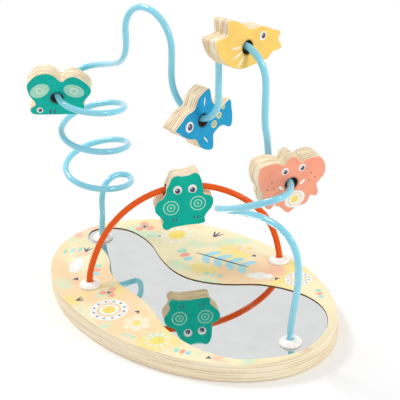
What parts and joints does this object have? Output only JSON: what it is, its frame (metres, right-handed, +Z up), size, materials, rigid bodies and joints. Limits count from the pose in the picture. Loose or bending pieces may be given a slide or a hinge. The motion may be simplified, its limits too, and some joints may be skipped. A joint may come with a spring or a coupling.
{
  "type": "bead maze",
  "caption": "Oval plywood board with a mirror pond, a looping blue wire and a red wire arch that carry sliding cut-out animal beads.",
  "frame": {"origin": "centre of the oval board's underside", "axes": "+Z up, +X along the board's length towards the elephant and the front foot, +Y across the board towards the arch's right foot"},
  "size_m": [0.2579, 0.156, 0.2311],
  "materials": {
    "base_plywood": "clear-lacquered birch plywood, bare cut edge with fine ply lines",
    "top_plywood": "printed and lacquered thin plywood, pale yellow with soft orange patches",
    "mirror_sheet": "flat silvered acrylic, clear reflection",
    "blue_coated_wire": "steel wire in a smooth glossy light-blue coating",
    "red_coated_wire": "steel wire in a smooth glossy orange-red coating",
    "white_collar": "satin cream-white moulded plastic",
    "zinc_steel": "zinc-plated steel",
    "butterfly_plywood": "teal printed face, bare cut edge",
    "fish_plywood": "blue printed face, bare cut edge",
    "bird_plywood": "yellow printed face, bare cut edge",
    "elephant_plywood": "coral printed face, bare cut edge",
    "frog_plywood": "green printed face, bare cut edge"
  },
  "bodies": {
    "frame": {"base_board": "base_plywood", "top_board": "top_plywood", "mirror_inlay": "mirror_sheet", "blue_wire_coil": "blue_coated_wire", "blue_wire_loops": "blue_coated_wire", "blue_wire_front": "blue_coated_wire", "red_wire_arch": "red_coated_wire", "blue_rear_collar": "white_collar", "blue_front_collar": "white_collar", "red_left_collar": "white_collar", "red_right_collar": "white_collar", "wire_washers": "zinc_steel", "wire_nuts": "zinc_steel"},
    "butterfly": {"butterfly_bead": "butterfly_plywood"},
    "fish": {"fish_bead": "fish_plywood"},
    "bird": {"bird_bead": "bird_plywood"},
    "elephant": {"elephant_bead": "elephant_plywood"},
    "frog": {"frog_bead": "frog_plywood"}
  },
  "joints": [
    {"name": "butterfly_slide_hinge", "type": "hinge", "parent": "frame", "child": "butterfly", "pos_m": [-0.09678, 0.00851, 0.135], "axis": [-0.1451, 0.1363, -0.98], "range_deg": [-60, 10]},
    {"name": "fish_slide_hinge", "type": "hinge", "parent": "frame", "child": "fish", "pos_m": [0.01956, 0, 0.171], "axis": [0, 1, 0], "range_deg": [-60, 60]},
    {"name": "bird_slide_hinge", "type": "hinge", "parent": "frame", "child": "bird", "pos_m": [0.0624, 0, 0.1915], "axis": [0, 1, 0], "range_deg": [-60, 60]},
    {"name": "elephant_slide_hinge", "type": "hinge", "parent": "frame", "child": "elephant", "pos_m": [0.09205, -0.01818, 0.13185], "axis": [-0.1532, 0, -0.9882], "range_deg": [-2, 48]},
    {"name": "frog_slide_hinge", "type": "hinge", "parent": "frame", "child": "frog", "pos_m": [-0.01156, 0.01336, 0.003], "axis": [0.7771, -0.5658, 0.2756], "range_deg": [-36, 36]}
  ]
}
